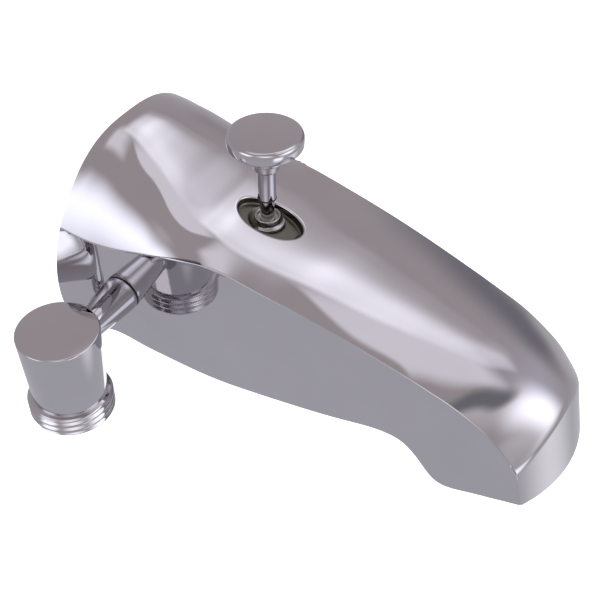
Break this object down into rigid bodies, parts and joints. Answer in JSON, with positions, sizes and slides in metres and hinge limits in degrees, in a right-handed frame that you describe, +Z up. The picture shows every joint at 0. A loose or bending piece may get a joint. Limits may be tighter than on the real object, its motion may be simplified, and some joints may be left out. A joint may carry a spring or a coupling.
{
  "type": "bath spout",
  "caption": "Bath spout with flat sides and a round wall end, a lift knob that diverts the water, and a threaded side outlet for a hand shower hose.",
  "frame": {"origin": "centre of the inlet thread's mouth, on the plane of the wall", "axes": "+Y into the wall along the inlet's axis, -Y along the spout to its nose, +Z up along the lift rod, -X on the side of the hand shower outlet"},
  "size_m": [0.0905, 0.1246, 0.0737],
  "materials": {
    "polished_chrome": "mirror polished plating",
    "turned_chrome": "turned and plated",
    "rod_steel": "drawn and polished",
    "cast_brass": "as cast, machined bores",
    "turned_brass": "turned",
    "black_rubber": "moulded"
  },
  "bodies": {
    "spout": {"spout_shell": "polished_chrome", "valve_body": "cast_brass", "passage_plug": "cast_brass", "inlet_washer": "black_rubber", "gate_seat": "turned_brass", "chamber_plug": "turned_brass", "plug_gasket": "black_rubber", "guide_bush": "turned_chrome", "rod_seal": "black_rubber", "outlet_elbow": "polished_chrome", "side_gasket": "black_rubber", "arm_nipple": "turned_brass", "nipple_seal": "black_rubber"},
    "diverter": {"knob": "polished_chrome", "knob_ring": "black_rubber", "lift_rod": "rod_steel", "diverter_gate": "turned_brass", "gate_washer": "black_rubber"}
  },
  "joints": [
    {"name": "diverter_lift", "type": "slide", "parent": "spout", "child": "diverter", "axis": [0, 0, 1], "range_m": [0, 0.012]}
  ]
}
